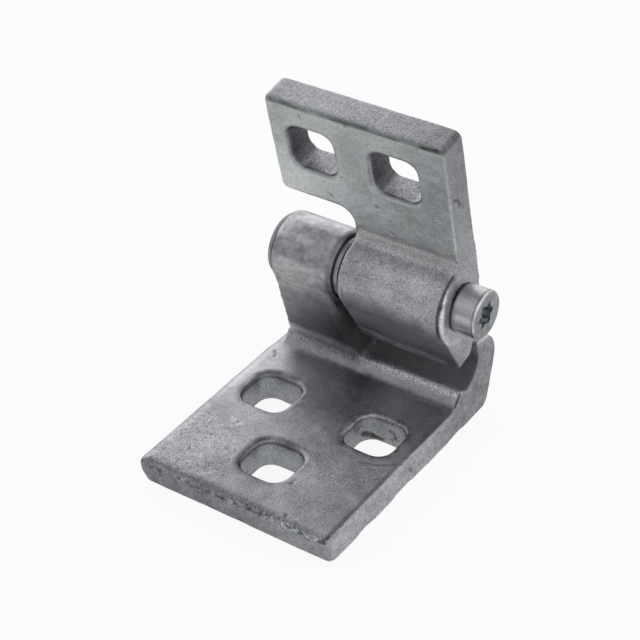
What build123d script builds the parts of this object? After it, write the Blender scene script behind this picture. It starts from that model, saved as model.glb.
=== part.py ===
from build123d import *
import math
import os

os.makedirs("parts", exist_ok=True)

# Frame: origin on the flat foot of the fixed leaf, on the middle line of its bolt holes
# X along the pin toward its head, Y toward the stop wall, Z up from the foot

# Foot plate of the fixed leaf
foot_left_x = -37.5
foot_right_x = 35.5
foot_front_y = -44.4
foot_thickness = 11.0
foot_corner_radius = 3.5
foot_left_slope = 5.1
foot_left_bulge_z = 5.8
foot_left_flat = 0.4
foot_front_top_radius = 2.6
foot_front_low_radius = 2.0
foot_right_radius = 1.0

# Rounded square bolt holes in the foot plate
foot_hole_width = 17.0
foot_hole_depth = 16.5
foot_hole_corner = 5.0
foot_hole_edge = 0.8
wing_hole_x = 20.0
wing_hole_y = 3.2
front_hole_y = -24.5

# Pin axis and the angle at which the moving leaf stands
pin_y = 27.8
pin_z = 52.0
leaf_lean = 12.0

# Knuckle of the fixed leaf
knuckle_start_x = -28.5
knuckle_length = 23.9
knuckle_radius = 12.0
knuckle_edge_radius = 1.8

# Ridge and recess at the back of the foot plate
ridge_foot_offset = 0.8
ridge_run = 3.4
ridge_height = 4.6
ridge_foot_radius = 4.0
ridge_crest_radius = 1.0
recess_front_run = 3.1
recess_front_drop = 0.7
recess_back_height = 11.5
recess_bow = 1.76

# Stop wall, which the nose of the moving leaf meets at the stop angle
stop_angle = 20.0
stop_clearance = 0.02
wall_top_z = 29.4
wall_foot_thickness = 5.9
wall_overhang = 8.0
wall_top_radius = 9.2
wall_foot_radius = 4.0
wall_inner_radius = 0.6

# Neck between the foot plate and the knuckle
neck_toe_offset = 1.6
neck_toe_bow = 1.07
neck_front_offset = 1.1
neck_front_height = 5.5
neck_back_offset = 1.1
neck_back_drop = 4.4
neck_root_depth = 5.0
neck_top_left_inset = 1.9
neck_top_right_inset = 1.4
neck_left_step = 1.1
neck_right_inset = 0.6
neck_right_flare = 5.4
neck_flare_low_height = 1.0
neck_flare_top_height = 17.0
neck_flare_left_bow = 0.37
neck_flare_right_bow = 2.02

# Moving leaf plate
leaf_left_x = -29.1
leaf_top_u = 60.4
leaf_thickness = 10.1
leaf_back_step = 0.5
leaf_corner_radius = 2.5
leaf_front_edge_radius = 1.2
leaf_back_edge_radius = 0.8

# Notch that clears the knuckle, and the flare down to the barrel end
notch_clearance = 10.3
notch_radius = 5.5
notch_corner_radius = 2.5
flare_top_u = 12.5
flare_low_u = 5.0
flare_radius = 6.0

# Rounded square bolt holes in the moving leaf
leaf_hole_size = 16.3
leaf_hole_corner = 4.0
leaf_hole_edge = 0.8
leaf_hole_left_x = -14.0
leaf_hole_right_x = 16.0
leaf_hole_u = 42.3

# Barrel and stop nose of the moving leaf
barrel_length = 39.7
barrel_radius = 12.4
barrel_proud = 1.6
barrel_left_edge = 2.4
barrel_right_edge = 1.2
barrel_blend_radius = 4.0
barrel_web_margin = 0.244
barrel_back_u = 6.0
barrel_slope_n = 3.0
nose_tip_n = -2.5
nose_tip_u = -25.1
nose_tip_radius = 2.0
nose_corner_radius = 7.0

# Hinge pin
pin_radius = 5.0
pin_head_radius = 8.0
pin_head_length = 8.4
pin_head_edge = 0.8
pin_end_recess = 0.4
pin_end_chamfer = 0.8

# Six-lobe socket in the pin head
socket_radius = 4.45
socket_flute_radius = 1.6
socket_root_radius = 3.2
socket_depth = 5.0

# Flanged bushes in the knuckle
bush_wall = 0.95
bush_spacing = 1.9
flange_radius = 10.2
flange_thickness = 1.5
flange_edge_radius = 0.4

# Fits
running_clearance = 0.05
press_clearance = 0.02
leaf_bore_clearance = 0.05
flange_gap = 0.3

# How far a cutting or trimming shape reaches past what it cuts
cut_margin = 1.0

# Positions that follow from the stack along the pin
knuckle_end_x = knuckle_start_x + knuckle_length
barrel_start_x = knuckle_end_x + flange_thickness + flange_gap
barrel_end_x = barrel_start_x + barrel_length
leaf_right_x = barrel_end_x - barrel_proud
bush_length = (knuckle_length - bush_spacing) / 2
bush_inner_radius = pin_radius + running_clearance
bush_outer_radius = bush_inner_radius + bush_wall
knuckle_bore_radius = bush_outer_radius + press_clearance
leaf_bore_radius = pin_radius + leaf_bore_clearance

# Positions that follow across the moving leaf
leaf_back_n = barrel_radius + leaf_back_step
leaf_front_n = leaf_back_n - leaf_thickness
notch_u = knuckle_radius + notch_clearance
barrel_top_u = math.sqrt(barrel_radius**2 - leaf_front_n**2)
barrel_blend_reach = barrel_radius + barrel_blend_radius
barrel_blend_u = math.sqrt(barrel_blend_reach**2 - (leaf_front_n - barrel_blend_radius) ** 2)
barrel_web_u = barrel_blend_u + barrel_web_margin

# Positions that follow at the back of the foot plate
stop_lean = math.radians(leaf_lean + stop_angle)
nose_stop_y = pin_y + nose_tip_n * math.cos(stop_lean) - nose_tip_u * math.sin(stop_lean)
wall_inner_y = nose_stop_y + nose_tip_radius + stop_clearance
wall_outer_foot_y = wall_inner_y + wall_foot_thickness
wall_outer_top_y = wall_outer_foot_y + wall_overhang
ridge_foot_y = pin_y - ridge_foot_offset
ridge_crest_y = ridge_foot_y + ridge_run
ridge_crest_z = foot_thickness + ridge_height
recess_front = (ridge_crest_y + recess_front_run, ridge_crest_z - recess_front_drop)
recess_back = (wall_inner_y, foot_thickness + recess_back_height)
foot_length = foot_right_x - foot_left_x
foot_depth = wall_outer_top_y - foot_front_y
foot_left_top_x = foot_left_x + foot_left_slope

# Direction out of the back of the moving leaf
lean = math.radians(leaf_lean)
back_y = math.cos(lean)
back_z = math.sin(lean)


def side_plane(x):
    return Plane(origin=(x, 0, 0), x_dir=(0, 1, 0), z_dir=(1, 0, 0))


def pin_plane(x):
    return Plane(origin=(x, pin_y, pin_z), x_dir=(0, 1, 0), z_dir=(1, 0, 0))


def leaf_side_plane(x):
    return Plane(origin=(x, pin_y, pin_z), x_dir=(0, back_y, back_z), z_dir=(1, 0, 0))


def leaf_section_plane(u):
    return Plane(
        origin=(0, pin_y - u * back_z, pin_z + u * back_y),
        x_dir=(1, 0, 0),
        z_dir=(0, -back_z, back_y),
    )


def leaf_face_plane(n):
    return Plane(
        origin=(0, pin_y + n * back_y, pin_z + n * back_z),
        x_dir=(1, 0, 0),
        z_dir=(0, -back_y, -back_z),
    )


def bowed(start, end, bow):
    across = (end[0] - start[0], end[1] - start[1])
    share = bow / math.hypot(across[0], across[1])
    return (
        (start[0] + end[0]) / 2 + share * across[1],
        (start[1] + end[1]) / 2 - share * across[0],
    )


def tangent_point(point, radius, side):
    distance = math.hypot(point[0], point[1])
    angle = math.atan2(point[1], point[0]) + side * math.acos(radius / distance)
    return (radius * math.cos(angle), radius * math.sin(angle))


def round_corners(sketch, corners):
    for point, radius in corners:
        fillet(sketch.vertices().sort_by_distance(Vector(point[0], point[1], 0))[0], radius)


# Fixed leaf: foot plate, ridge, recess and stop wall
foot_bulge = (foot_left_x, foot_left_bulge_z)
foot_bulge_top = (foot_left_top_x, foot_thickness)
foot_bulge_bow = (math.sqrt(2) - 1) / 2 * math.dist(foot_bulge, foot_bulge_top)
with BuildPart() as foot:
    with BuildSketch(side_plane(foot_left_x)) as foot_profile:
        with BuildLine():
            Polyline(
                recess_back,
                (wall_inner_y, wall_top_z),
                (wall_outer_top_y, wall_top_z),
                (wall_outer_foot_y, 0),
                (foot_front_y, 0),
                (foot_front_y, foot_thickness),
                (ridge_foot_y, foot_thickness),
                (ridge_crest_y, ridge_crest_z),
                recess_front,
            )
            ThreePointArc(recess_front, bowed(recess_front, recess_back, recess_bow), recess_back)
        make_face()
        round_corners(
            foot_profile,
            (
                ((wall_inner_y, wall_top_z), wall_inner_radius),
                ((wall_outer_top_y, wall_top_z), wall_top_radius),
                ((wall_outer_foot_y, 0), wall_foot_radius),
                ((foot_front_y, 0), foot_front_low_radius),
                ((foot_front_y, foot_thickness), foot_front_top_radius),
                ((ridge_foot_y, foot_thickness), ridge_foot_radius),
                ((ridge_crest_y, ridge_crest_z), ridge_crest_radius),
            ),
        )
    extrude(amount=foot_length)
    fillet(foot.faces().sort_by(Axis.X)[-1].outer_wire().edges(), foot_right_radius)
    with BuildSketch(Plane.XZ.offset(-wall_outer_top_y - cut_margin)) as front_outline:
        with BuildLine():
            Polyline(
                foot_bulge_top,
                (foot_left_top_x, wall_top_z + cut_margin),
                (foot_right_x, wall_top_z + cut_margin),
                (foot_right_x, 0),
                (foot_left_x, 0),
                foot_bulge,
            )
            ThreePointArc(foot_bulge, bowed(foot_bulge, foot_bulge_top, -foot_bulge_bow), foot_bulge_top)
        make_face()
        round_corners(front_outline, (((foot_left_x, 0), foot_left_bulge_z - foot_left_flat),))
    extrude(amount=foot_depth + 2 * cut_margin, mode=Mode.INTERSECT)
    corner_y = foot_front_y + foot_corner_radius
    with BuildSketch():
        for edge_x, inward in ((foot_left_x, 1), (foot_right_x, -1)):
            corner_x = edge_x + inward * foot_corner_radius
            outside_x = edge_x - inward * cut_margin
            with BuildLine():
                RadiusArc(
                    (edge_x, corner_y),
                    (corner_x, foot_front_y),
                    -inward * foot_corner_radius,
                )
                Polyline(
                    (corner_x, foot_front_y),
                    (corner_x, foot_front_y - cut_margin),
                    (outside_x, foot_front_y - cut_margin),
                    (outside_x, corner_y),
                    (edge_x, corner_y),
                )
            make_face()
    extrude(amount=foot_thickness, mode=Mode.SUBTRACT)
foot.part.label = "foot"

# Fixed leaf: neck that rises from the foot and carries the knuckle
neck_toe = (-neck_toe_offset, foot_thickness - pin_z)
neck_front = (neck_front_offset, foot_thickness + neck_front_height - pin_z)
neck_back = (wall_outer_foot_y + neck_back_offset - pin_y, wall_top_z - neck_back_drop - pin_z)
neck_root_z = foot_thickness - neck_root_depth
neck_low_z = foot_thickness + neck_flare_low_height
neck_flare_z = foot_thickness + neck_flare_top_height
neck_left = (knuckle_start_x - neck_left_step, neck_flare_z)
neck_left_foot = (foot_left_top_x, neck_low_z)
neck_right = (knuckle_end_x - neck_right_inset, neck_flare_z)
neck_right_foot = (neck_right[0] + neck_right_flare, neck_low_z)
with BuildPart() as neck:
    with BuildSketch(pin_plane(foot_left_top_x)):
        with BuildLine():
            ThreePointArc(neck_toe, bowed(neck_toe, neck_front, neck_toe_bow), neck_front)
            Polyline(
                neck_front,
                tangent_point(neck_front, knuckle_radius, -1),
                (0, 0),
                tangent_point(neck_back, knuckle_radius, 1),
                neck_back,
                (wall_outer_foot_y - pin_y, neck_root_z - pin_z),
                (-neck_toe_offset, neck_root_z - pin_z),
                neck_toe,
            )
        make_face()
    extrude(amount=neck_right_foot[0] - foot_left_top_x)
    with BuildSketch(Plane.XZ.offset(-wall_outer_top_y)):
        with BuildLine():
            ThreePointArc(
                neck_left_foot,
                bowed(neck_left_foot, neck_left, neck_flare_left_bow),
                neck_left,
            )
            Polyline(
                neck_left,
                (knuckle_start_x + neck_top_left_inset, pin_z),
                (knuckle_end_x - neck_top_right_inset, pin_z),
                neck_right,
            )
            ThreePointArc(
                neck_right,
                bowed(neck_right, neck_right_foot, neck_flare_right_bow),
                neck_right_foot,
            )
            Polyline(
                neck_right_foot,
                (neck_right_foot[0], neck_root_z),
                (foot_left_top_x, neck_root_z),
                neck_left_foot,
            )
        make_face()
    extrude(amount=foot_depth, mode=Mode.INTERSECT)
neck.part.label = "neck"

with BuildPart() as knuckle:
    with BuildSketch(pin_plane(knuckle_start_x)):
        Circle(knuckle_radius)
    extrude(amount=knuckle_length)
    fillet(knuckle.edges().filter_by(GeomType.CIRCLE), knuckle_edge_radius)
knuckle.part.label = "knuckle"

with BuildPart() as fixed_leaf:
    add(foot.part)
    add(neck.part)
    add(knuckle.part)
    with BuildSketch(pin_plane(knuckle_start_x - cut_margin)):
        Circle(knuckle_bore_radius)
    extrude(amount=knuckle_length + 2 * cut_margin, mode=Mode.SUBTRACT)
    with BuildSketch():
        with Locations(
            (-wing_hole_x, wing_hole_y),
            (wing_hole_x, wing_hole_y),
            (0, front_hole_y),
        ):
            RectangleRounded(foot_hole_width, foot_hole_depth, foot_hole_corner)
    extrude(amount=foot_thickness, mode=Mode.SUBTRACT)
    fillet(fixed_leaf.faces().filter_by(Axis.Z).sort_by(Axis.Z)[0].inner_wires().edges(), foot_hole_edge)
    foot_top = fixed_leaf.faces().filter_by(Axis.Z).sort_by_distance(Vector(0, 0, foot_thickness))[0]
    fillet(foot_top.inner_wires().edges(), foot_hole_edge)
fixed_leaf.part.label = "fixed_leaf"
export_step(fixed_leaf.part, "parts/fixed_leaf.step")

# Moving leaf: barrel with its stop nose
nose_angle = math.atan2(nose_tip_u, nose_tip_n)
nose_reach = math.hypot(nose_tip_n, nose_tip_u)
nose_spread = math.acos((barrel_radius - nose_tip_radius) / nose_reach)
nose_sides = []
for side in (-1, 1):
    across = (math.cos(nose_angle + side * nose_spread), math.sin(nose_angle + side * nose_spread))
    nose_sides.append((barrel_radius * across[0], barrel_radius * across[1]))
    tip_side = (nose_tip_n + nose_tip_radius * across[0], nose_tip_u + nose_tip_radius * across[1])
    nose_sides.append(tip_side)
with BuildPart() as barrel:
    with BuildSketch(leaf_side_plane(barrel_start_x)) as barrel_profile:
        Circle(barrel_radius)
        with Locations((nose_tip_n, nose_tip_u)):
            Circle(nose_tip_radius)
        Polygon(nose_sides[0], nose_sides[1], nose_sides[3], nose_sides[2], align=None)
        Polygon(
            (0, 0),
            (leaf_front_n, 0),
            (leaf_front_n, barrel_web_u),
            (leaf_back_n, barrel_web_u),
            (leaf_back_n, barrel_back_u),
            tangent_point((leaf_back_n, barrel_back_u), barrel_radius, -1),
            align=None,
        )
        round_corners(barrel_profile, (((leaf_front_n, barrel_top_u), barrel_blend_radius),))
    extrude(amount=barrel_length)
    fillet(barrel.faces().sort_by(Axis.X)[0].outer_wire().edges(), barrel_left_edge)
    fillet(barrel.faces().sort_by(Axis.X)[-1].outer_wire().edges(), barrel_right_edge)
    nose_low_u = nose_tip_u - nose_tip_radius
    with BuildSketch(leaf_face_plane(-barrel_radius - cut_margin)):
        with BuildLine():
            RadiusArc(
                (barrel_end_x - nose_corner_radius, nose_low_u),
                (barrel_end_x, nose_low_u + nose_corner_radius),
                -nose_corner_radius,
            )
            Polyline(
                (barrel_end_x, nose_low_u + nose_corner_radius),
                (barrel_end_x + cut_margin, nose_low_u + nose_corner_radius),
                (barrel_end_x + cut_margin, nose_low_u - cut_margin),
                (barrel_end_x - nose_corner_radius, nose_low_u - cut_margin),
                (barrel_end_x - nose_corner_radius, nose_low_u),
            )
        make_face()
        Polygon(
            (leaf_right_x, flare_top_u),
            (barrel_end_x, flare_low_u),
            (barrel_end_x + cut_margin, flare_low_u),
            (barrel_end_x + cut_margin, barrel_web_u + cut_margin),
            (leaf_right_x, barrel_web_u + cut_margin),
            align=None,
        )
    extrude(amount=-barrel_radius - leaf_back_n - 2 * cut_margin, mode=Mode.SUBTRACT)
barrel.part.label = "barrel"

# Moving leaf: plate with its notch
with BuildPart() as leaf_plate:
    with BuildSketch(leaf_face_plane(leaf_front_n)) as plate_outline:
        with BuildLine():
            Polyline(
                (leaf_left_x, notch_u),
                (leaf_left_x, leaf_top_u),
                (leaf_right_x, leaf_top_u),
                (leaf_right_x, flare_top_u),
                (barrel_end_x, flare_low_u),
                (barrel_end_x, 0),
                (barrel_start_x, 0),
                (barrel_start_x, notch_u),
                close=True,
            )
        make_face()
        round_corners(
            plate_outline,
            (
                ((leaf_left_x, notch_u), notch_corner_radius),
                ((leaf_left_x, leaf_top_u), leaf_corner_radius),
                ((leaf_right_x, leaf_top_u), leaf_corner_radius),
                ((leaf_right_x, flare_top_u), flare_radius),
                ((barrel_end_x, flare_low_u), flare_radius),
                ((barrel_start_x, notch_u), notch_radius),
            ),
        )
    extrude(amount=-leaf_thickness)
    toward_back = Axis((0, 0, 0), (0, back_y, back_z))
    fillet(leaf_plate.faces().sort_by(toward_back)[0].edges(), leaf_front_edge_radius)
    fillet(leaf_plate.faces().sort_by(toward_back)[-1].edges(), leaf_back_edge_radius)
leaf_plate.part.label = "leaf_plate"

with BuildPart() as moving_leaf:
    add(barrel.part)
    add(leaf_plate.part)
    with BuildSketch(leaf_section_plane(-barrel_radius - cut_margin)):
        Polygon(
            (barrel_end_x, barrel_slope_n),
            (leaf_right_x, leaf_back_n),
            (leaf_right_x, leaf_back_n + cut_margin),
            (barrel_end_x + cut_margin, leaf_back_n + cut_margin),
            (barrel_end_x + cut_margin, barrel_slope_n),
            align=None,
        )
    extrude(amount=barrel_radius + barrel_web_u + 2 * cut_margin, mode=Mode.SUBTRACT)
    with BuildSketch(pin_plane(barrel_start_x - cut_margin)):
        Circle(leaf_bore_radius)
    extrude(amount=barrel_length + 2 * cut_margin, mode=Mode.SUBTRACT)
    with BuildSketch(leaf_face_plane(leaf_front_n)):
        with Locations((leaf_hole_left_x, leaf_hole_u), (leaf_hole_right_x, leaf_hole_u)):
            RectangleRounded(leaf_hole_size, leaf_hole_size, leaf_hole_corner)
    extrude(amount=-leaf_thickness, mode=Mode.SUBTRACT)
    leaf_faces = moving_leaf.faces().filter_by(toward_back).sort_by(toward_back)
    leaf_front = [face for face in leaf_faces if len(face.inner_wires()) == 2][0]
    fillet(leaf_front.inner_wires().edges(), leaf_hole_edge)
moving_leaf.part.label = "moving_leaf"
export_step(moving_leaf.part, "parts/moving_leaf.step")

# Hinge pin with a six-lobe socket in its head
pin_start_x = knuckle_start_x - flange_thickness + pin_end_recess
pin_head_end_x = barrel_end_x + pin_head_length
with BuildPart() as hinge_pin:
    with BuildSketch(pin_plane(pin_start_x)):
        Circle(pin_radius)
    extrude(amount=barrel_end_x - pin_start_x)
    chamfer(hinge_pin.faces().sort_by(Axis.X)[0].edges(), pin_end_chamfer)
    with BuildSketch(pin_plane(barrel_end_x)):
        Circle(pin_head_radius)
    extrude(amount=pin_head_length)
    fillet(hinge_pin.faces().sort_by(Axis.X)[-1].outer_wire().edges(), pin_head_edge)
    with BuildSketch(pin_plane(pin_head_end_x - socket_depth)):
        Circle(socket_radius)
        with PolarLocations(socket_root_radius + socket_flute_radius, 6, start_angle=30):
            Circle(socket_flute_radius, mode=Mode.SUBTRACT)
    extrude(amount=socket_depth, mode=Mode.SUBTRACT)
hinge_pin.part.label = "hinge_pin"
export_step(hinge_pin.part, "parts/hinge_pin.step")

# Flanged bushes pressed into the knuckle from both ends
with BuildPart() as outer_bush:
    with BuildSketch(pin_plane(knuckle_start_x - flange_thickness)):
        Circle(flange_radius)
    extrude(amount=flange_thickness)
    fillet(outer_bush.edges().sort_by(Axis.X)[0], flange_edge_radius)
    with BuildSketch(pin_plane(knuckle_start_x)):
        Circle(bush_outer_radius)
    extrude(amount=bush_length)
    with BuildSketch(pin_plane(knuckle_start_x - flange_thickness)):
        Circle(bush_inner_radius)
    extrude(amount=flange_thickness + bush_length, mode=Mode.SUBTRACT)
outer_bush.part.label = "outer_bush"
export_step(outer_bush.part, "parts/outer_bush.step")

with BuildPart() as inner_bush:
    with BuildSketch(pin_plane(knuckle_end_x)):
        Circle(flange_radius)
    extrude(amount=flange_thickness)
    fillet(inner_bush.edges().sort_by(Axis.X)[-1], flange_edge_radius)
    with BuildSketch(pin_plane(knuckle_end_x - bush_length)):
        Circle(bush_outer_radius)
    extrude(amount=bush_length)
    with BuildSketch(pin_plane(knuckle_end_x - bush_length)):
        Circle(bush_inner_radius)
    extrude(amount=flange_thickness + bush_length, mode=Mode.SUBTRACT)
inner_bush.part.label = "inner_bush"
export_step(inner_bush.part, "parts/inner_bush.step")
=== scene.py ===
import math

import bpy
import numpy as np
from mathutils import Matrix, Vector


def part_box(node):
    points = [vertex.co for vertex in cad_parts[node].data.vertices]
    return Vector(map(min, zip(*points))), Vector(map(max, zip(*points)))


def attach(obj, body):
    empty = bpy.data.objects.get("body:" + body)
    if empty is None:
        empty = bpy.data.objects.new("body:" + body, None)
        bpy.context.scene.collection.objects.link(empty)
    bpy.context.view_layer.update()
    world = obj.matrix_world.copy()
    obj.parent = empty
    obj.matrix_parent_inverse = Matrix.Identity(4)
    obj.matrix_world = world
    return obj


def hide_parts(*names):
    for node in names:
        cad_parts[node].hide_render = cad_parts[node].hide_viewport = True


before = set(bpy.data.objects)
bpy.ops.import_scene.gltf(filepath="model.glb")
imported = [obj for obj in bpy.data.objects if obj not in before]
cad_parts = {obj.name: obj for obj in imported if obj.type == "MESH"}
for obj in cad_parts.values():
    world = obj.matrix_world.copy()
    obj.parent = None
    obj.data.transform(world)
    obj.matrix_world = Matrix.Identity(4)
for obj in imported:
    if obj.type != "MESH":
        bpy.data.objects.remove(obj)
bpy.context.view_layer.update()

# One millimetre in metres
MM = 0.001

# Places and sizes on the hinge in millimetres, and the door plate's lean
PIN_Y = 27.8
PIN_Z = 52.0
PIN_END = 45.3
FOOT_TOP = 11.0
FOOT_HOLES = ((-20.0, 3.2), (20.0, 3.2), (0.0, -24.5))
FOOT_HOLE_SIZE = (17.0, 16.5, 5.0)
DOOR_HOLES = ((-14.0, 42.3), (16.0, 42.3))
DOOR_HOLE_SIZE = (16.3, 16.3, 4.0)
DOOR_LEAN = math.radians(12.0)

# Grain of the even surfaces in millimetres
WELD_GAP = 0.002
FIXED_GRAIN = 0.54
MOVING_GRAIN = 0.44
PIN_GRAIN = 0.2

# The photograph's camera
LENS = 102.0
SENSOR_WIDTH = 36.0
CAMERA_PLACE = (264.87, -363.52, 377.87)
CAMERA_TURN = (2.1297277557, 0.6464833877, -0.3668606432)

# Colours of the metals, and of the stain as a factor
FORGED_GREY = (0.397, 0.402, 0.43)
FORGED_GREEN = (0.384, 0.405, 0.407)
TURNED_GREY = (0.5, 0.498, 0.52)
TURNED_GREEN = (0.33, 0.43, 0.45)
BUSH_GREY = (0.33, 0.332, 0.352)
WARM_STAIN = (1.02, 0.985, 0.87)
BLACK = (0, 0, 0)

# Painted light and shade of each region, mixed with some of the metal's own finish, as a share of the base
# colour
FIXED_SHADES = {
    "front_left": 0.64,
    "front_right": 0.9,
    "right_front": 1.12,
    "right_back": 0.79,
    "pebble": 1.1,
    "top_front": 0.84,
    "top_middle": 1.36,
    "top_right": 0.78,
    "top_back": 0.76,
    "ridge_left": 0.97,
    "ridge_right": 1.3,
    "ridge_foot": 0.7,
    "recess": 0.4,
    "recess_right": 0.47,
    "neck_foot": 2.25,
    "neck_low": 0.63,
    "neck_high": 0.78,
    "neck_side": 0.3,
    "knuckle_top": 1.24,
    "knuckle_band": 0.84,
    "knuckle_edge": 0.5,
    "hole_wall": 1.08,
    "lip": 0.33,
}
MOVING_SHADES = {
    "front_left": 1.18,
    "front_right": 1.15,
    "front_low": 1.34,
    "front_middle": 0.82,
    "top": 1.04,
    "top_end": 0.88,
    "right_low": 0.92,
    "right_high": 0.75,
    "barrel": 1.09,
    "nose": 0.74,
    "hole_wall": 1.04,
    "hole_side": 0.37,
}

# Pits, dents, scratches and smudges, a notch and a painted highlight: points, radius, depth and shade
FIXED_MARKS = (
    (((-20.1, -15.3, 11),), 0.9, 0.25, 0.5),
    (((-23.5, -24.5, 11),), 0.8, 0.2, 0.6),
    (((18.2, -42.6, 10.9),), 1.0, 0.3, 0.4),
    (((16.2, -44.0, 9.8),), 0.8, 0.25, 0.5),
    (((11.5, -29.9, 11),), 0.8, 0.25, 0.45),
    (((-32.3, 21.8, 11), (-31.2, 20.6, 11), (-30.4, 19.0, 11)), 0.7, 0.3, 0.5),
    (((23.0, -10.4, 11), (28.5, -8.6, 11), (34.9, -4.2, 10.9)), 0.5, 0.12, 0.75),
    (((24.5, -12.4, 11), (30.5, -9.3, 11), (35.0, -5.9, 10.9)), 0.5, 0.0, 1.3),
    # Notch at the ridge's right end, its near-black darkness painted shade
    (((34.7, 30.4, 15.3), (34.8, 29.4, 14.2), (34.8, 28.5, 12.9), (34.9, 27.6, 11.9)), 0.9, 0.35, 0.1),
    (((20.4, 11.4, 6.5),), 1.0, 0.2, 0.45),
    (((21.7, 11.4, 5.7),), 0.9, 0.25, 0.35),
    (((22.3, 11.4, 4.3),), 1.2, 0.3, 0.3),
    (((20.8, 11.4, 3.1),), 0.9, 0.2, 0.5),
    (((24.8, 10.7, 4.3), (25.5, 10.2, 3.3)), 1.0, 0.2, 0.45),
    (((12.2, 9.0, 3.6), (13.9, 10.8, 2.4)), 1.5, 0.35, 0.3),
    (((14.4, 11.1, 1.9), (17.0, 11.4, 1.5)), 1.0, 0.25, 0.25),
    (((18.2, 11.4, 2.4),), 0.9, 0.1, 0.6),
    (((35.5, 0.7, 4.8), (35.5, -0.4, 6.4)), 1.0, 0.15, 0.55),
    (((35.5, 2.4, 7.2),), 0.9, 0.1, 0.65),
    (((35.5, -25.5, 3.4),), 1.0, 0.15, 0.6),
    (((35.5, -30.5, 6.0),), 0.8, 0.1, 0.7),
    (((32.6, -44.2, 8.6), (33.9, -43.5, 10.3)), 1.1, 0.2, 0.4),
    (((35.5, -7.0, 0.0), (35.5, -1.0, 0.0)), 3.0, 0.3, 0.9),
    (((35.5, -27.0, 0.0), (35.5, -23.0, 0.0)), 3.0, 0.25, 0.9),
    # Painted highlight along the wall's top inner edge under the pin head, with no dent
    (((30.0, 41.2, 29.0), (34.6, 41.4, 28.8), (35.2, 46.5, 28.4)), 0.9, 0.0, 1.5),
)
MOVING_MARKS = (
    (((-16.6, 18.8, 107.6), (-15.9, 19.1, 106.6)), 0.5, 0.15, 0.5),
    (((0.8, 18.6, 109.2),), 1.0, 0.2, 0.55),
    (((-4.3, 23.2, 87.3),), 0.8, 0.2, 0.6),
    (((-10.0, 25.1, 78.3), (-9.4, 25.3, 77.6)), 0.6, 0.2, 0.6),
    (((7.2, 24.7, 80.0), (8.0, 24.9, 79.4)), 0.6, 0.2, 0.55),
    (((11.2, 26.6, 70.7), (12.2, 26.8, 70.3)), 0.8, 0.2, 0.5),
    (((35.3, 24.3, 91.5), (35.3, 26.0, 91.2), (35.3, 27.6, 88.4)), 0.7, 0.12, 0.55),
    (((35.4, 16.6, 57.4), (36.0, 17.0, 58.2)), 1.2, 0.2, 0.55),
    (((32.6, 18.2, 110.6), (31.6, 18.1, 110.9)), 0.8, 0.25, 0.4),
)
PEBBLE_PATH = ((-25.0, -26.0, 11), (-30.0, -34.0, 11), (-22.0, -32.0, 11))
PEBBLE_RADIUS = 11.5
NOSE_LINE = ((0.9, 26.9, 29.3), (13.8, 27.5, 28.2), (28.6, 27.8, 27.8))

# Studio light: direction and level of each broad panel, and how sharply a panel falls off
SKY = (
    ((1, 0, 0), 0.36),
    ((-1, 0, 0), 0.57),
    ((0, 1, 0), 0.62),
    ((0, -1, 0), 0.16),
    ((0, 0, 1), 0.06),
    ((1, 1, 0.35), 0.44),
    ((1, 1, 1.27), 0.26),
    ((1, -1, 0.35), 0.32),
    ((1, -1, 1.27), 0.49),
    ((-1, 1, 0.35), 1.07),
    ((-1, 1, 1.27), 0.05),
    ((-1, -1, 1.27), 0.25),
    ((-1, 0, 0.6), 0.45),
    ((1, 0, 0.6), 0.44),
    ((0, -1, 0.7), 0.35),
    ((0, 1, 0.7), 0.18),
)
SKY_FALLOFF = 4.0

# Floor: side in metres, drop below the foot in millimetres, and how white it is seen and mirrored
FLOOR_SIDE = 6
FLOOR_DROP = 0.05
FLOOR_SEEN = 0.9
FLOOR_MIRRORED = 0.42


# Camera at the photograph's place
def make_camera():
    turn = Vector(CAMERA_TURN)
    rows = Matrix.Rotation(turn.length, 3, turn.normalized())
    axes = Matrix((rows[0], -rows[1], -rows[2])).transposed()
    data = bpy.data.cameras.new("camera")
    data.lens = LENS
    data.sensor_width = SENSOR_WIDTH
    data.clip_start = 0.01
    data.clip_end = 20
    camera = bpy.data.objects.new("camera", data)
    camera.matrix_world = Matrix.Translation(Vector(CAMERA_PLACE) * MM) @ axes.to_4x4()
    bpy.context.collection.objects.link(camera)
    bpy.context.scene.camera = camera


# Smooth lattice noise for many points at once, from -1 to 1
def noise(points, size, seed):
    cells = 32
    rng = np.random.default_rng(seed)
    values = rng.uniform(-1, 1, (cells, cells, cells))
    p = points / size + rng.uniform(0, cells, 3)
    cell = np.floor(p).astype(int)
    t = p - cell
    t = t * t * t * (t * (t * 6 - 15) + 10)
    total = np.zeros(len(points))
    for corner in np.ndindex(2, 2, 2):
        weight = 1.0
        for axis, far_side in enumerate(corner):
            weight = weight * (t[:, axis] if far_side else 1 - t[:, axis])
        i, j, k = ((cell + corner) % cells).T
        total += weight * values[i, j, k]
    return total


# Sum of several noises, each with its size, seed and amount
def layers(points, parts):
    return sum(noise(points, size, seed) * amount for size, seed, amount in parts)


# 0 below the low limit, 1 above the high one
def smooth(low, high, x):
    t = np.clip((x - low) / (high - low), 0, 1)
    return t * t * (3 - 2 * t)


# 1 below the low limit, 0 above the high one
def fade(low, high, x):
    return 1 - smooth(low, high, x)


# 1 within half of a centre, falling to 0 over the soft width beyond
def band(x, centre, half, soft):
    return fade(half, half + soft, np.abs(x - centre))


def between(a, b, t):
    return a * (1 - t) + b * t


# Factor that takes the tone to a share of itself where the mask is 1
def shade(share, mask):
    return 1 + (share - 1) * mask


# Distance to a polyline or to a single point
def stroke_gap(co, points):
    points = [np.array(p, dtype=float) for p in points]
    best = np.linalg.norm(co - points[0], axis=1)
    for a, b in zip(points[:-1], points[1:]):
        d = b - a
        t = np.clip((co - a) @ d / (d @ d), 0, 1)
        best = np.minimum(best, np.linalg.norm(co - a - t[:, None] * d, axis=1))
    return best


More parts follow.
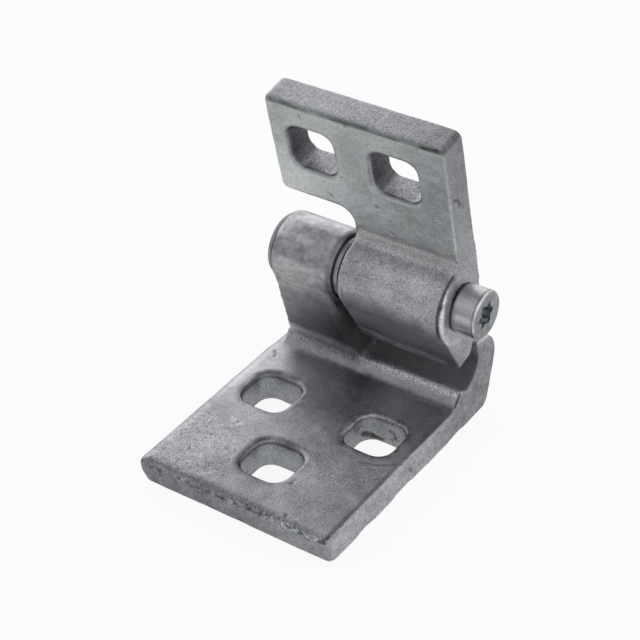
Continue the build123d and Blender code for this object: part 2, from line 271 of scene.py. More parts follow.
# Distance outside a rounded rectangle, negative inside
def square_gap(x, y, width, depth, corner):
    qx = np.abs(x) - (width / 2 - corner)
    qy = np.abs(y) - (depth / 2 - corner)
    return np.hypot(np.maximum(qx, 0), np.maximum(qy, 0)) + np.minimum(np.maximum(qx, qy), 0) - corner


# Distance outside the nearest of several equal holes
def holes_gap(x, y, places, size):
    return np.min([square_gap(x - px, y - py, *size) for px, py in places], axis=0)


# Copy of a CAD node, its seams joined and its surface made of even small faces
def even_copy(node, name, grain):
    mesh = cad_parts[node].data.copy()
    obj = bpy.data.objects.new(name, mesh)
    bpy.context.collection.objects.link(obj)
    weld = obj.modifiers.new("weld", "WELD")
    weld.merge_threshold = WELD_GAP * MM
    remesh = obj.modifiers.new("remesh", "REMESH")
    remesh.mode = "VOXEL"
    remesh.voxel_size = grain * MM
    remesh.use_smooth_shade = True
    bpy.context.view_layer.update()
    made = bpy.data.meshes.new_from_object(obj.evaluated_get(bpy.context.evaluated_depsgraph_get()))
    obj.modifiers.clear()
    obj.data = made
    obj.data.materials.clear()
    made.name = name
    return obj


def read_points(obj):
    count = len(obj.data.vertices)
    co = np.empty(count * 3)
    obj.data.vertices.foreach_get("co", co)
    no = np.empty(count * 3)
    obj.data.vertices.foreach_get("normal", no)
    return co.reshape(count, 3) / MM, no.reshape(count, 3)


# New places of the points, kept inside the CAD node's box
def write_points(obj, co, node):
    low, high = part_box(node)
    co = np.clip(co, np.array(low) / MM, np.array(high) / MM)
    obj.data.vertices.foreach_set("co", (co * MM).ravel())
    obj.data.update()
    obj.data.shade_smooth()


def edge_list(obj):
    ends = np.empty(len(obj.data.edges) * 2, dtype=np.int64)
    obj.data.edges.foreach_get("vertices", ends)
    return ends.reshape(-1, 2)


# Points moved towards the mean of their neighbours
def relax(co, edges, rounds):
    for _ in range(rounds):
        total = np.zeros_like(co)
        count = np.zeros(len(co))
        np.add.at(total, edges[:, 0], co[edges[:, 1]])
        np.add.at(total, edges[:, 1], co[edges[:, 0]])
        np.add.at(count, edges[:, 0], 1)
        np.add.at(count, edges[:, 1], 1)
        mean = total / np.maximum(count, 1)[:, None]
        co = co * 0.4 + mean * 0.6
    return co


# Relaxing that acts only where the weight is
def soften(co, edges, weight, rounds):
    for _ in range(rounds):
        co = co + (relax(co, edges, 1) - co) * weight[:, None]
    return co


# Forged skin: broad waves, and chips where the surface bends outward
def forge(co, no, edges, waves, chip_size, chip_seed, inset):
    bend = ((relax(co, edges, 10) - co) * no).sum(1)
    worn = smooth(0.08, 0.35, -bend)
    chips = worn * (noise(co, chip_size, chip_seed) + 0.3) * 0.1
    return co + no * (layers(co, waves) - inset - chips)[:, None]


def add_marks(co, no, tone, marks):
    for points, radius, depth, share in marks:
        mask = fade(0.3, 1.0, stroke_gap(co, points) / radius)
        co = co - no * (mask * depth)[:, None]
        tone = tone * shade(share, mask)
    return co, tone


# Values of the points that the materials read by name
def paint(obj, values):
    for name, each in values.items():
        layer = obj.data.attributes.new(name, "FLOAT", "POINT")
        layer.data.foreach_set("value", each.astype(np.float32))


# Shader nodes
def node_tree(name):
    mat = bpy.data.materials.new(name)
    mat.use_nodes = True
    tree = mat.node_tree
    tree.nodes.clear()
    out = tree.nodes.new("ShaderNodeOutputMaterial")
    shader = tree.nodes.new("ShaderNodeBsdfPrincipled")
    tree.links.new(shader.outputs["BSDF"], out.inputs["Surface"])
    return mat, tree, shader


def add_noise(tree, coords, scale, detail, rough, seed):
    n = tree.nodes.new("ShaderNodeTexNoise")
    n.noise_dimensions = "4D"
    n.inputs["W"].default_value = seed
    n.inputs["Scale"].default_value = scale
    n.inputs["Detail"].default_value = detail
    n.inputs["Roughness"].default_value = rough
    tree.links.new(coords, n.inputs["Vector"])
    return n.outputs["Fac"]


def remap(tree, value, low, high, to_low, to_high):
    m = tree.nodes.new("ShaderNodeMapRange")
    m.inputs["From Min"].default_value = low
    m.inputs["From Max"].default_value = high
    m.inputs["To Min"].default_value = to_low
    m.inputs["To Max"].default_value = to_high
    tree.links.new(value, m.inputs["Value"])
    return m.outputs["Result"]


# The middle of a noise's range, spread from low to high
def spread(tree, value, low, high):
    return remap(tree, value, 0.3, 0.7, low, high)


def maths(tree, kind, a, b):
    m = tree.nodes.new("ShaderNodeMath")
    m.operation = kind
    for socket, value in zip(m.inputs, (a, b)):
        if isinstance(value, (int, float)):
            socket.default_value = value
        else:
            tree.links.new(value, socket)
    return m.outputs["Value"]


# Mix of two colours, each a fixed one or a socket
def mix_colours(tree, factor, a, b, kind="MIX"):
    m = tree.nodes.new("ShaderNodeMix")
    m.data_type = "RGBA"
    m.blend_type = kind
    m.clamp_factor = False
    tree.links.new(factor, m.inputs["Factor"])
    for socket, value in ((m.inputs["A"], a), (m.inputs["B"], b)):
        if isinstance(value, tuple):
            socket.default_value = (*value, 1)
        else:
            tree.links.new(value, socket)
    return m.outputs["Result"]


def attribute(tree, name):
    a = tree.nodes.new("ShaderNodeAttribute")
    a.attribute_name = name
    return a.outputs["Fac"]


def add_bump(tree, shader, height, strength, distance):
    bump = tree.nodes.new("ShaderNodeBump")
    bump.inputs["Strength"].default_value = strength
    bump.inputs["Distance"].default_value = distance * MM
    tree.links.new(height, bump.inputs["Height"])
    tree.links.new(bump.outputs["Normal"], shader.inputs["Normal"])


# Shot-blasted and zinc-plated steel: fine dark and light specks, blotches, two hues and a warm stain, times
# the painted light and shade that the points carry as tone
def worked_material(name, base, other, rough_low, rough_high, relief, seed):
    mat, tree, shader = node_tree(name)
    coords = tree.nodes.new("ShaderNodeTexCoord").outputs["Object"]
    shader.inputs["Metallic"].default_value = 1.0
    wide = add_noise(tree, coords, 90, 3, 0.55, seed)
    middle = add_noise(tree, coords, 420, 3, 0.6, seed + 1)
    grain = add_noise(tree, coords, 2100, 2, 0.65, seed + 2)
    fleck = add_noise(tree, coords, 1350, 1, 0.5, seed + 3)
    speckle = attribute(tree, "speckle")
    light = maths(tree, "MULTIPLY", remap(tree, grain, 0.34, 0.66, -0.45, 0.45), speckle)
    dark = maths(tree, "MULTIPLY", remap(tree, fleck, 0.6, 0.72, 0.0, -0.5), speckle)
    tone = maths(tree, "MULTIPLY", spread(tree, wide, 0.93, 1.07), spread(tree, middle, 0.92, 1.08))
    tone = maths(tree, "MULTIPLY", tone, maths(tree, "ADD", light, 1.0))
    tone = maths(tree, "MULTIPLY", tone, maths(tree, "ADD", dark, 1.0))
    # The tone attribute brings in painted light and shade along with the metal's own lighter and darker
    # patches
    tone = maths(tree, "MAXIMUM", maths(tree, "MULTIPLY", tone, attribute(tree, "tone")), 0.02)
    shift = maths(tree, "ADD", attribute(tree, "tint"), spread(tree, middle, -0.35, 0.35))
    colour = mix_colours(tree, shift, base, other)
    colour = mix_colours(tree, attribute(tree, "warm"), colour, WARM_STAIN, "MULTIPLY")
    colour = mix_colours(tree, tone, BLACK, colour)
    tree.links.new(colour, shader.inputs["Base Color"])
    # Specular tint follows the tone, so painted shade stays dark at grazing angles too
    tree.links.new(maths(tree, "MINIMUM", tone, 1.0), shader.inputs["Specular Tint"])
    rough = maths(tree, "ADD", spread(tree, middle, rough_low, rough_high), attribute(tree, "dull"))
    tree.links.new(rough, shader.inputs["Roughness"])
    pits = maths(tree, "ADD", grain, maths(tree, "MULTIPLY", fleck, -0.8))
    height = maths(tree, "ADD", maths(tree, "MULTIPLY", pits, speckle), maths(tree, "MULTIPLY", middle, 0.9))
    add_bump(tree, shader, height, 0.7, relief)
    return mat


def satin_material(name, base, rough_low, rough_high, seed):
    mat, tree, shader = node_tree(name)
    coords = tree.nodes.new("ShaderNodeTexCoord").outputs["Object"]
    shader.inputs["Metallic"].default_value = 1.0
    wide = add_noise(tree, coords, 300, 3, 0.6, seed)
    fine = add_noise(tree, coords, 2200, 2, 0.6, seed + 1)
    tone = maths(tree, "MULTIPLY", spread(tree, wide, 0.92, 1.08), spread(tree, fine, 0.94, 1.06))
    tree.links.new(mix_colours(tree, tone, BLACK, base), shader.inputs["Base Color"])
    tree.links.new(spread(tree, wide, rough_low, rough_high), shader.inputs["Roughness"])
    add_bump(tree, shader, fine, 0.25, 0.05)
    return mat


# Fixed leaf's form: rounded hole rims, neck root and corners, and a bulged left side
def shape_fixed_leaf(co, no, edges, gap):
    x, y, z = co.T
    rim = band(gap, 0.6, 1.4, 1.6) * smooth(8.0, 10.0, z)
    flare = band(x, -5.0, 4.5, 2.0) * smooth(14, 18, y) * smooth(11.0, 12.5, z) * fade(32, 38, z)
    corner = smooth(30, 34, x) * smooth(25, 27, y) * fade(31, 33, y)
    co = relax(co, edges, 1)
    co = soften(co, edges, np.clip(rim * 0.9 + flare + corner * 0.5, 0, 1), 14)
    left = fade(-33.5, -31.5, x) * fade(24, 28, y) * smooth(0.1, 0.6, -no[:, 0])
    co[:, 0] += left * (0.8 * fade(0, 5, z) - 0.5 * smooth(3, 7, z) * fade(8, 11, z))
    near = fade(-36, -32, x) * fade(-43, -39.5, y) * band(z, 6.0, 1.0, 4.0)
    co[:, :2] -= 0.55 * near[:, None]
    tip = fade(-36, -33, x) * fade(-43, -40, y) * smooth(6.0, 9.0, z)
    return soften(co, edges, tip, 16)


# Where each zone of the fixed leaf lies, from 0 to 1
def fixed_zones(co, no, gap):
    x, y, z = co.T
    nx, ny, nz = no.T
    from_pin = np.hypot(y - PIN_Y, z - PIN_Z)
    right = smooth(0.5, 0.9, nx) * smooth(33.5, 34.5, x)
    inside = 1 - right
    top = smooth(0.5, 0.9, nz) * band(z, FOOT_TOP, 0.8, 0.8) * fade(25, 27, y)
    patch_gap = stroke_gap(co, PEBBLE_PATH) - PEBBLE_RADIUS
    patch_rim = band(patch_gap, 0.3, 0.3, 0.8) * smooth(-0.4, 0.3, noise(co, 6.0, 65)) * smooth(-30, -24, x)
    # Masks for painted light and shade: highlight on the ridge's crest, shade at its foot, in the recess at
    # the back, on the neck's side and in the gap at the knuckle's left end; the stain is the metal's own
    ridge = smooth(26.0, 27.6, y) * fade(31.2, 32.8, y) * smooth(12.7, 14.5, z) * fade(16.6, 18.0, z)
    ridge = ridge * inside * np.maximum(smooth(-8.0, -5.0, x), fade(14.6, 16.0, z))
    ridge_foot = smooth(15, 26, y) * fade(29.0, 30.0, y) * smooth(9.0, 10.4, z) * fade(11.5, 15.0, z)
    back = smooth(30.5, 34.0, y) * smooth(1.0, 3.0, z) * fade(22, 29, z) * smooth(-11, -3, x)
    neck_side = smooth(-9.5, -5.0, x) * smooth(13.5, 17.5, z) * fade(32, 44, z) * fade(-2, 4, x)
    stain = smooth(-0.1, 0.6, -ny) * band(z, 47.0, 1.0, 8.0) * smooth(15, 19, z)
    stain = stain * fade(-19, -8, x + 2.5 * noise(co, 4.0, 68))
    end_line = fade(-27.7, -27.1, x) * fade(29, 35, y) * smooth(40, 45, z)
    return {
        "right": right,
        "front": smooth(0.3, 0.8, -ny) * fade(-43.5, -41.5, y),
        "face": fade(-43.6, -42.6, y),
        "top": top,
        "pebble": top * fade(-0.8, 0.8, patch_gap),
        "pebble_rim": top * patch_rim,
        "ridge": ridge,
        "ridge_foot": ridge_foot * smooth(-34, -24, x) * inside,
        "back": back * inside * fade(0.0, 0.5, ny),
        "neck": band(x, -16.5, 14.0, 1.0) * smooth(15.5, 18, z) * fade(40, 44, z) * smooth(0.2, 0.6, -ny),
        "neck_side": neck_side * smooth(18, 22, y) * fade(40, 42, y) * fade(0.3, 0.7, ny),
        "knuckle": fade(12.4, 13.4, from_pin) * fade(29, 37, y) * smooth(38, 46, z),
        "knuckle_edge": smooth(-7.2, -5.6, x) * smooth(36, 43, z) * (x < -3),
        "end_line": end_line * band(from_pin, 11.9, 0.7, 0.5),
        "stain": stain * np.clip(0.6 + 0.5 * noise(co, 3.0, 75), 0, 1),
        "walls": fade(0.3, 0.7, gap) * fade(9.0, 10.2, z),
        "lip": band(gap, 0.6, 1.1, 1.5) * smooth(9.0, 10.0, z) * fade(20, 24, y),
        "right_hole": (x > 9) & (y > -8),
    }


# Foot top: the worn pebbled patch with its rim, then painted light at the left back and in the middle, and
# painted shade at the front, right back and back
def foot_top_tone(co, zone):
    x, y = co.T[:2]
    top = zone["top"]
    tone = shade(FIXED_SHADES["pebble"], zone["pebble"])
    tone = tone * (1 + 0.17 * zone["pebble"] * noise(co, 1.15, 67))
    tone = tone * (1 + 0.3 * zone["pebble_rim"])
    tone = tone * (1 + 0.3 * top * fade(-29, -24, x) * smooth(-10, 0, y))
    in_front = fade(-36, -26, y) * fade(0, 14, x) * smooth(-22, -12, x)
    tone = tone * shade(FIXED_SHADES["top_front"], top * in_front)
    in_middle = smooth(-6, 8, x + 0.3 * (y + 13)) * band(y, -13, 10, 13)
    tone = tone * shade(FIXED_SHADES["top_middle"], top * in_middle)
    tone = tone * shade(FIXED_SHADES["top_right"], top * smooth(15, 26, x) * smooth(0, 12, y))
    at_back = smooth(12, 22, y + 0.15 * x) * smooth(-26, -6, x)
    return tone * shade(FIXED_SHADES["top_back"], top * at_back)


# Ridge, recess and neck: painted highlight on the ridge, painted shade at its foot, in the recess and on the
# neck, which is painted lighter at its foot and darker towards its right side; where the recess meets the
# neck's side the painted shade is one dark area
def recess_tone(co, zone):
    x, z = co[:, 0], co[:, 2]
    ridge = between(FIXED_SHADES["ridge_left"], FIXED_SHADES["ridge_right"], smooth(-10, 28, x))
    recess = between(FIXED_SHADES["recess"], FIXED_SHADES["recess_right"], smooth(4, 32, x))
    neck = between(FIXED_SHADES["neck_low"], FIXED_SHADES["neck_high"], smooth(20, 42, z))
    neck = between(FIXED_SHADES["neck_foot"], neck, smooth(16.5, 22.0, z))
    tone = shade(ridge, zone["ridge"])
    tone = tone * shade(FIXED_SHADES["ridge_foot"], zone["ridge_foot"])
    tone = tone * shade(neck, zone["neck"])
    beside = 0.55 * zone["neck"] * smooth(-17, -5, x) * fade(26, 44, z)
    dark = np.maximum(beside, (1 - recess) * zone["back"])
    return tone * (1 - np.maximum(dark, (1 - FIXED_SHADES["neck_side"]) * zone["neck_side"]))


# Knuckle: painted highlight along its top and painted shade in a band below it, the metal's own streaks and
# blotches, painted shadow in the gap at its left end by the bush, and painted shade at its edge by the neck
def knuckle_tone(co, zone):
    z = co[:, 2]
    knuckle = zone["knuckle"]
    height = z + 1.2 * noise(co * (0.4, 1, 1), 5.0, 39)
    streaks = noise(co * (0.35, 1, 1), 1.2, 40) + noise(co * (0.3, 1, 1), 2.4, 61)
    tone = shade(FIXED_SHADES["knuckle_top"], knuckle * smooth(60.5, 62.5, height))
    tone = tone * shade(FIXED_SHADES["knuckle_band"], knuckle * band(height, 58.3, 1.6, 2.0))
    tone = tone * (1 - 0.16 * knuckle * np.clip(streaks, 0, 1))
    tone = tone * (1 + knuckle * layers(co, ((1.2, 69, 0.2), (3.0, 70, 0.12))))
    tone = tone * (1 - 0.8 * zone["end_line"])
    return tone * shade(FIXED_SHADES["knuckle_edge"], zone["knuckle_edge"])


# Foot holes: walls a little lighter, and painted shade on the rims, deepest on the back-left sides and
# patchy on the right hole
def foot_hole_tone(co, zone):
    x, y = co.T[:2]
    toward = np.zeros(len(co))
    for hole_x, hole_y in FOOT_HOLES:
        far = np.hypot(x - hole_x, y - hole_y)
        facing = ((hole_x - x) * 0.5 + (y - hole_y) * 0.87) / np.maximum(far, 1)
        toward = np.where(far < 14, facing, toward)
    lip_shade = (FIXED_SHADES["lip"] + 0.15 * toward) * (1 + 0.5 * noise(co, 3.0, 35))
    lip_shade = np.where(zone["right_hole"], 0.14 + 0.3 * noise(co, 1.3, 71), lip_shade)
    return shade(FIXED_SHADES["hole_wall"], zone["walls"]) * (1 - zone["lip"] * lip_shade)


# Parting line along the foot's front edge: how far to the right, and its height
def parting_line(x):
    across = smooth(-24, 8, x)
    along = np.stack([x, 0 * x, 0 * x], 1)
    return across, 7.5 + 0.7 * across + 0.5 * noise(along, 7.0, 36)


# Front and right faces of the foot: painted light and shade across them, mixed with the rough scale's own
# darker tone
def foot_side_tone(co, zone):
    x, y, z = co.T
    front, right, face = zone["front"], zone["right"], zone["face"]
    across, line = parting_line(x)
    front_share = between(FIXED_SHADES["front_left"], FIXED_SHADES["front_right"], smooth(-25, 25, x))
    right_share = between(FIXED_SHADES["right_front"], FIXED_SHADES["right_back"], smooth(6, 30, y))
    tone = shade(front_share, front) * shade(right_share, right)
    tone = tone * (1 + right * layers(co, ((3.0, 73, 0.1), (1.3, 74, 0.1))))
    # Painted light turning to painted shade towards the right, along the front's rounded top edge
    tone = tone * (1 + (0.1 - 0.22 * across) * face * band(z, 9.7, 0.8, 0.7))
    broken = smooth(-0.2, 0.4, noise(co, 1.2, 37))
    tone = tone * (1 - (0.4 + 0.15 * across) * face * band(z, line, 0.4, 0.6) * broken)
    burr = face * band(z, line - 0.2, 0.8, 0.6) * smooth(0.0, 0.4, noise(co, 1.15, 62))
    tone = tone * (1 + (0.3 + 0.35 * smooth(8, 26, x)) * burr)
    tone = tone * (1 - 0.14 * front * band(x, 0, 8, 16))
    tone = tone * (1 + front * layers(co, ((1.2, 63, 0.16), (4.0, 64, 0.12))))
    # Painted dark reflection along the right top edge, strongest at the front
    side_line = band(x, 34.3, 0.35, 0.9) * band(z, FOOT_TOP, 0.5, 0.5) * fade(18, 24, y)
    return tone * (1 - side_line * (0.42 - 0.22 * smooth(-20, 0, y)))


def fixed_speckle(co, zone):
    x, y, z = co.T
    across, line = parting_line(x)
    speckle = 0.5 + 0.2 * zone["top"] * fade(-14, 6, y) + 0.3 * zone["pebble"] + 0.75 * zone["ridge"]
    speckle += 0.2 * zone["front"] + 0.15 * zone["right"] + 0.3 * zone["walls"]
    speckle += zone["face"] * band(z, line, 0.9, 0.9) * (0.4 + 0.5 * across)
    speckle += 0.5 * zone["lip"] * zone["right_hole"]
    return speckle * (1 - 0.5 * zone["neck"]) * (1 - 0.4 * zone["knuckle"]) * (1 - 0.6 * zone["back"])


def make_fixed_leaf(material):
    obj = even_copy("fixed_leaf", "fixed_leaf_forging", FIXED_GRAIN)
    co, no = read_points(obj)
    edges = edge_list(obj)
    gap = holes_gap(co[:, 0], co[:, 1], FOOT_HOLES, FOOT_HOLE_SIZE)
    co = shape_fixed_leaf(co, no, edges, gap)
    waves = ((14.0, 11, 0.08), (5.0, 12, 0.05), (2.2, 13, 0.03))
    co = forge(co, no, edges, waves, 2.6, 14, 0.08)

    zone = fixed_zones(co, no, gap)
    tone = 1 + layers(co, ((16.0, 31, 0.06), (7.0, 32, 0.06), (2.6, 33, 0.06), (1.3, 34, 0.07)))
    for part in (foot_side_tone, foot_top_tone, recess_tone, knuckle_tone, foot_hole_tone):
        tone = tone * part(co, zone)
    speckle = fixed_speckle(co, zone)
    green = 0.7 * zone["front"] * smooth(0, 0.5, noise(co, 3.0, 38))
    tint = 0.45 * zone["walls"] + 0.35 * zone["stain"] + green - 0.5 * zone["ridge"] - 0.1 * zone["right"]
    dull = 0.06 * zone["pebble"] + 0.08 * zone["ridge"] - 0.04 * zone["knuckle"]
    dull = dull + 0.4 * np.maximum(zone["neck_side"], zone["back"])
    warm = 0.75 * zone["stain"] + 0.15 * zone["knuckle"]
    co, tone = add_marks(co, no, tone, FIXED_MARKS)
    write_points(obj, co, "fixed_leaf")
    tone = np.clip(tone, 0.1, 2.2)
    paint(obj, {"tone": tone, "speckle": speckle, "tint": tint, "warm": warm, "dull": dull})
    obj.data.materials.append(material)
    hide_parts("fixed_leaf")
    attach(obj, "fixed")


# Directions across and up the leaning door plate
def leaning(y, z):
    across = y * math.cos(DOOR_LEAN) + z * math.sin(DOOR_LEAN)
    up = -y * math.sin(DOOR_LEAN) + z * math.cos(DOOR_LEAN)
    return across, up


# Where each zone of the moving leaf lies, from 0 to 1
def moving_zones(co, no, x, across, up, gap):
    nx = no[:, 0]
    n_across, n_up = leaning(no[:, 1], no[:, 2])
    from_pin = np.hypot(across, up)
    around = np.degrees(np.arctan2(-across, up))
    right = smooth(0.5, 0.9, nx) * smooth(33.5, 34.5, x)
    inside = 1 - right
    groove = band(x, 34.9, 0.3, 0.6) * smooth(-10, 5, around) * fade(95, 120, around)
    shine = band(x, 36.3, 0.35, 0.45) * smooth(0, 20, around) * fade(150, 175, around)
    walls = fade(0.3, 0.7, gap) * smooth(3.4, 4.4, across)
    return {
        "right": right,
        "front": smooth(0.4, 0.9, -n_across) * smooth(15, 19, up),
        "top": smooth(0.3, 0.8, n_up) * smooth(58, 59.5, up),
        "barrel": fade(12.6, 13.4, from_pin) * inside * smooth(-4.0, -3.2, x),
        "barrel_end": fade(-2.3, -1.7, x) * fade(13, 15, from_pin),
        "blend": band(up, 15.0, 2.5, 2.5) * smooth(0.1, 0.6, -n_across) * inside,
        "under": fade(-9, -3, up) * smooth(0.2, 0.6, -n_across) * inside,
        "walls": walls,
        "wall_side": walls * smooth(0.2, 0.7, nx),
        "lip": band(gap, 0.3, 0.5, 0.9) * fade(3.4, 4.2, across),
        "edge": band(up, 59.1, 0.5, 0.8) * fade(3.0, 4.0, across) * smooth(-29, -26, x),
        # Top-right rounding of the door plate, where a line of painted shade goes, sunk a little
        "rounding_shade": smooth(0.2, 0.42, nx * n_up) * smooth(55, 58, up),
        "groove": groove * band(from_pin, 12.2, 0.6, 0.6),
        "shine": shine * band(from_pin, 11.9, 0.6, 0.6),
        "flash": band(stroke_gap(co, NOSE_LINE), 0, 1.7, 1.5) * inside,
    }


# Door plate: painted light and shade across the front, top and right faces, painted shade between the holes,
# on the holes' side walls, under the top-front edge and along the top-right rounding, and darker hole rims
def door_plate_tone(co, x, up, zone):
    front = zone["front"]
    front_share = between(MOVING_SHADES["front_left"], MOVING_SHADES["front_right"], smooth(-22, 22, x))
    top_share = between(MOVING_SHADES["top"], MOVING_SHADES["top_end"], smooth(12, 32, x))
    right_share = between(MOVING_SHADES["right_low"], MOVING_SHADES["right_high"], smooth(14, 44, up))
    between_holes = band(x, 1.0, 2.0, 6.0) * band(up, 42, 8, 10)
    tone = shade(front_share, front) * shade(top_share, zone["top"]) * shade(right_share, zone["right"])
    tone = tone * shade(MOVING_SHADES["front_low"], front * fade(20, 50, up))
    tone = tone * shade(MOVING_SHADES["front_middle"], front * between_holes)
    tone = tone * shade(MOVING_SHADES["hole_wall"], zone["walls"])
    tone = tone * shade(MOVING_SHADES["hole_side"], zone["wall_side"])
    tone = tone * (1 - 0.62 * zone["edge"] * np.clip(1 + 0.6 * noise(co, 3.5, 45), 0, 1.4))
    tone = tone * (1 - 0.45 * zone["rounding_shade"])
    return tone * (1 - 0.25 * zone["lip"] * (1 + 0.5 * noise(co, 3.0, 46)))


# Barrel and nose: painted light on the barrel's upper side and painted shade under it, painted shade in the
# groove and a painted highlight on the rim at the right end, the lighter forging flash, painted shadow in
# the gap at the left end by the bush, and blotches, lighter to the right
def barrel_tone(co, x, up, zone):
    barrel = zone["barrel"]
    tone = shade(MOVING_SHADES["barrel"], barrel * smooth(-4, 2, up))
    tone = tone * shade(MOVING_SHADES["nose"], zone["under"] * fade(-20, -12, up))
    tone = tone * (1 - 0.75 * zone["groove"])
    tone = tone * (1 + 0.6 * zone["shine"] * (1 + 0.6 * noise(co, 2.0, 47)))
    tone = tone * (1 + zone["flash"] * (0.55 + 0.45 * noise(co, 2.4, 48)))
    tone = tone * (1 - 0.75 * zone["barrel_end"])
    blotches = layers(co, ((6.0, 66, 0.12), (2.4, 72, 0.1)))
    return tone * (1 + barrel * (blotches + 0.1 * (smooth(0, 30, x) - 0.5)))


def make_moving_leaf(material):
    obj = even_copy("moving_leaf", "moving_leaf_forging", MOVING_GRAIN)
    co, no = read_points(obj)
    edges = edge_list(obj)
    x = co[:, 0]
    across, up = leaning(co[:, 1] - PIN_Y, co[:, 2] - PIN_Z)
    gap = holes_gap(x, up, DOOR_HOLES, DOOR_HOLE_SIZE)
    rim = band(gap, 0.3, 1.0, 0.8) * fade(4.2, 5.5, across)
    co = relax(co, edges, 1)
    co = soften(co, edges, rim * 0.8, 8)
    waves = ((12.0, 21, 0.07), (4.5, 22, 0.04), (2.0, 23, 0.025))
    co = forge(co, no, edges, waves, 2.2, 24, 0.07)

    zone = moving_zones(co, no, x, across, up, gap)
    tone = 1 + layers(co, ((18.0, 41, 0.07), (7.0, 42, 0.05), (2.6, 43, 0.05), (1.2, 44, 0.06)))
    tone = tone * door_plate_tone(co, x, up, zone) * barrel_tone(co, x, up, zone)
    depth = 0.12 * zone["edge"] + 0.15 * zone["groove"] + 0.1 * zone["rounding_shade"]
    co = co - no * depth[:, None]
    front, top, right, barrel = zone["front"], zone["top"], zone["right"], zone["barrel"]
    upper = barrel * smooth(-3, 3, up)
    speckle = 0.4 + 0.4 * top + 0.25 * right + 0.45 * upper + 0.2 * zone["blend"]
    speckle += 0.5 * zone["walls"] - 0.2 * zone["under"] + 1.1 * zone["flash"]
    tint = 0.9 * front + 0.6 * zone["under"] + 0.1 * top + 0.1 * right - 0.2 * upper
    dull = 0.05 * barrel + 0.05 * top - 0.04 * front + 0.15 * zone["wall_side"]
    co, tone = add_marks(co, no, tone, MOVING_MARKS)
    warm = 0.35 * front * fade(20, 50, up) * smooth(-0.3, 0.4, noise(co, 6.0, 49)) + 0.3 * zone["blend"]
    write_points(obj, co, "moving_leaf")
    tone = np.clip(tone, 0.1, 2.2)
    paint(obj, {"tone": tone, "speckle": speckle, "tint": tint, "warm": warm, "dull": dull})
    obj.data.materials.append(material)
    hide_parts("moving_leaf")
    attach(obj, "moving")


# Hinge pin, turned, with softened socket edges
def make_hinge_pin(material):
    obj = even_copy("hinge_pin", "hinge_pin_turned", PIN_GRAIN)
    co, no = read_points(obj)
    edges = edge_list(obj)
    x = co[:, 0]
    from_axis = np.hypot(co[:, 1] - PIN_Y, co[:, 2] - PIN_Z)
    from_end = PIN_END - x
    co = relax(co, edges, 2)
    mouth = fade(4.9, 5.6, from_axis) * fade(0.5, 1.2, from_end)
    co = soften(co, edges, mouth, 8)
    groove = band(from_end, 1.1, 0.15, 0.3) * smooth(7.3, 7.7, from_axis)
    wave = layers(co, ((3.0, 51, 0.012), (1.0, 52, 0.008)))
    co = co + no * (wave - 0.015 - 0.09 * groove)[:, None]

    face = fade(0.0, 0.3, from_end)
    socket = fade(4.5, 4.9, from_axis) * smooth(0.1, 0.6, from_end) * smooth(38, 40, x)
    rim = band(from_end, 0.35, 0.3, 0.3) * smooth(7.2, 7.6, from_axis)
    tone = 1 + noise(co, 2.5, 53) * 0.06 + noise(co * (0.2, 1, 1), 0.8, 54) * 0.05
    # Painted shade in the groove by the rim
    tone = tone * (1 - 0.45 * groove)
    # Painted highlight around the rim
    tone = tone * (1 + rim * (0.05 + 0.5 * noise(co, 2.5, 58)))
    # Painted shade around the head's root by the barrel
    tone = tone * (1 - 0.5 * fade(37.3, 37.9, x))
    tone = tone * (1 - 0.3 * face * (1 + 0.4 * noise(co, 2.0, 55)))
    # Painted light streaks inside the socket
    tone = tone * (1 + socket * (0.25 + 0.9 * noise(co, 0.9, 57)))
    speckle = 0.3 + 0.2 * face + 0.2 * smooth(-0.2, 0.5, noise(co, 3.0, 56))
    write_points(obj, co, "hinge_pin")
    tone = np.clip(tone, 0.1, 2.0)
    paint(obj, {"tone": tone, "speckle": speckle, "tint": 0.4 * socket, "dull": 0.12 * face})
    obj.data.materials.append(material)
    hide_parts("hinge_pin")
    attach(obj, "moving")


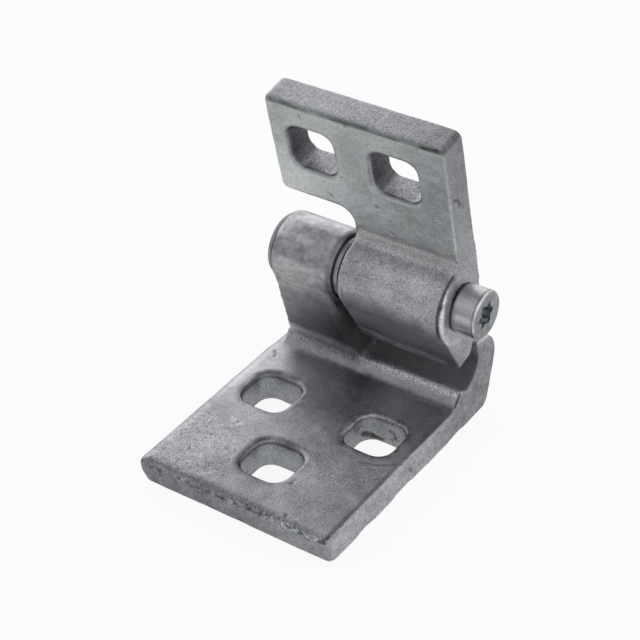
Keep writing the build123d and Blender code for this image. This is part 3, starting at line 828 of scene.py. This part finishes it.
# Soft studio light all round, with a white background
def make_light():
    world = bpy.data.worlds.new("studio")
    bpy.context.scene.world = world
    world.use_nodes = True
    tree = world.node_tree
    tree.nodes.clear()
    out = tree.nodes.new("ShaderNodeOutputWorld")
    back = tree.nodes.new("ShaderNodeBackground")
    back.inputs["Color"].default_value = (1, 1, 1, 1)
    coord = tree.nodes.new("ShaderNodeTexCoord")
    total = 0.0
    for toward, level in SKY:
        dot = tree.nodes.new("ShaderNodeVectorMath")
        dot.operation = "DOT_PRODUCT"
        tree.links.new(coord.outputs["Generated"], dot.inputs[0])
        dot.inputs[1].default_value = Vector(toward).normalized()
        lobe = maths(tree, "POWER", maths(tree, "MAXIMUM", dot.outputs["Value"], 0.0), SKY_FALLOFF)
        total = maths(tree, "ADD", maths(tree, "MULTIPLY", lobe, level), total)
    path = tree.nodes.new("ShaderNodeLightPath")
    seen = maths(tree, "MAXIMUM", path.outputs["Is Camera Ray"], path.outputs["Is Transmission Ray"])
    strength = tree.nodes.new("ShaderNodeMix")
    tree.links.new(seen, strength.inputs["Factor"])
    tree.links.new(total, strength.inputs["A"])
    strength.inputs["B"].default_value = 1.0
    tree.links.new(strength.outputs["Result"], back.inputs["Strength"])
    tree.links.new(back.outputs["Background"], out.inputs["Surface"])


# Plain pale floor that the camera sees as white
def make_floor():
    bpy.ops.mesh.primitive_plane_add(size=FLOOR_SIDE, location=(0, 0, -FLOOR_DROP * MM))
    floor = bpy.context.object
    floor.name = "floor"
    mat, tree, shader = node_tree("floor")
    shader.inputs["Base Color"].default_value = (0.9, 0.9, 0.9, 1)
    shader.inputs["Roughness"].default_value = 0.9
    shader.inputs["Specular IOR Level"].default_value = 0.1
    out = next(n for n in tree.nodes if n.type == "OUTPUT_MATERIAL")
    path = tree.nodes.new("ShaderNodeLightPath")
    glow = tree.nodes.new("ShaderNodeEmission")
    glow.inputs["Color"].default_value = (1, 1, 1, 1)
    glow.inputs["Strength"].default_value = 1.0
    mix = tree.nodes.new("ShaderNodeMixShader")
    seen = maths(tree, "MULTIPLY", path.outputs["Is Camera Ray"], FLOOR_SEEN)
    mirrored = maths(tree, "MULTIPLY", path.outputs["Is Glossy Ray"], FLOOR_MIRRORED)
    tree.links.new(maths(tree, "ADD", seen, mirrored), mix.inputs["Fac"])
    tree.links.new(shader.outputs["BSDF"], mix.inputs[1])
    tree.links.new(glow.outputs["Emission"], mix.inputs[2])
    tree.links.new(mix.outputs["Shader"], out.inputs["Surface"])
    floor.data.materials.append(mat)


make_camera()
forged = worked_material("forged_zinc_steel", FORGED_GREY, FORGED_GREEN, 0.36, 0.46, 0.14, 3.0)
turned = worked_material("turned_zinc_steel", TURNED_GREY, TURNED_GREEN, 0.27, 0.35, 0.04, 7.0)
bush = satin_material("bush_steel", BUSH_GREY, 0.3, 0.45, 9.0)
make_fixed_leaf(forged)
make_moving_leaf(forged)
make_hinge_pin(turned)
for node in ("outer_bush", "inner_bush"):
    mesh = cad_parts[node].data
    mesh.materials.clear()
    mesh.materials.append(bush)
make_light()
make_floor()

bpy.context.scene.view_settings.view_transform = "Standard"
